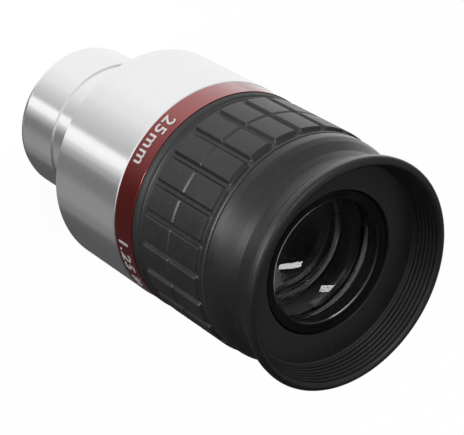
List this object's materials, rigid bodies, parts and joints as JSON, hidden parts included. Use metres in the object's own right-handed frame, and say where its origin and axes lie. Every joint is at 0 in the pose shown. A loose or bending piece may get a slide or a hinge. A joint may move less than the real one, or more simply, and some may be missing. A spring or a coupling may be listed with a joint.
{
  "type": "telescope eyepiece",
  "caption": "Twist-up telescope eyepiece for 31.7 mm focusers: bright metal body with red band, ribbed rubber grip, rubber eyecup and a lens stack.",
  "frame": {"origin": "centre of the nosepiece's end face, on the optical axis", "axes": "+Z along the optical axis, from the nosepiece towards the eyecup; -Y is the side that carries the focal-length marking"},
  "size_m": [0.0466, 0.0466, 0.0903],
  "materials": {
    "bright_aluminium": "fine turned, bright",
    "red_enamel": "semi-gloss dark red anodising",
    "black_anodised": "satin black anodising",
    "blackened_inside": "matt black",
    "grip_rubber": "matt moulded rubber",
    "eyecup_rubber": "satin soft rubber",
    "nylon": "natural nylon",
    "screw_steel": "plain steel",
    "coated_glass": "polished, anti-reflection coated"
  },
  "bodies": {
    "housing": {"nosepiece_barrel": "bright_aluminium", "body_shell": "bright_aluminium", "colour_band": "red_enamel", "upper_housing": "black_anodised", "rubber_grip": "grip_rubber", "guide_screw_1": "screw_steel", "guide_screw_2": "screw_steel", "guide_screw_3": "screw_steel", "lens_barrel": "blackened_inside", "eye_retaining_ring": "blackened_inside", "rear_retaining_ring": "blackened_inside", "field_stop_ring": "blackened_inside", "eye_spacer": "blackened_inside", "middle_spacer": "blackened_inside", "field_spacer": "blackened_inside", "eye_lens": "coated_glass", "inner_singlet": "coated_glass", "middle_lens_flint": "coated_glass", "middle_lens_crown": "coated_glass", "field_lens_crown": "coated_glass", "field_lens_flint": "coated_glass"},
    "glide_ring": {"glide_ring": "nylon"},
    "eyecup": {"eyecup_sleeve": "black_anodised", "sleeve_stop_ring": "black_anodised", "rubber_eyecup": "eyecup_rubber"}
  },
  "joints": [
    {"name": "eyecup_lift", "type": "slide", "parent": "housing", "child": "glide_ring", "axis": [0, 0, 1], "range_m": [0, 0.007]},
    {"name": "eyecup_twist", "type": "hinge", "parent": "glide_ring", "child": "eyecup", "pos_m": [0, 0, 0.0666], "axis": [0, 0, 1], "range_deg": [0, 90]}
  ],
  "couplings": [
    {"joint": "eyecup_lift", "follows": "eyecup_twist", "m_per_rad": 0.004456}
  ]
}
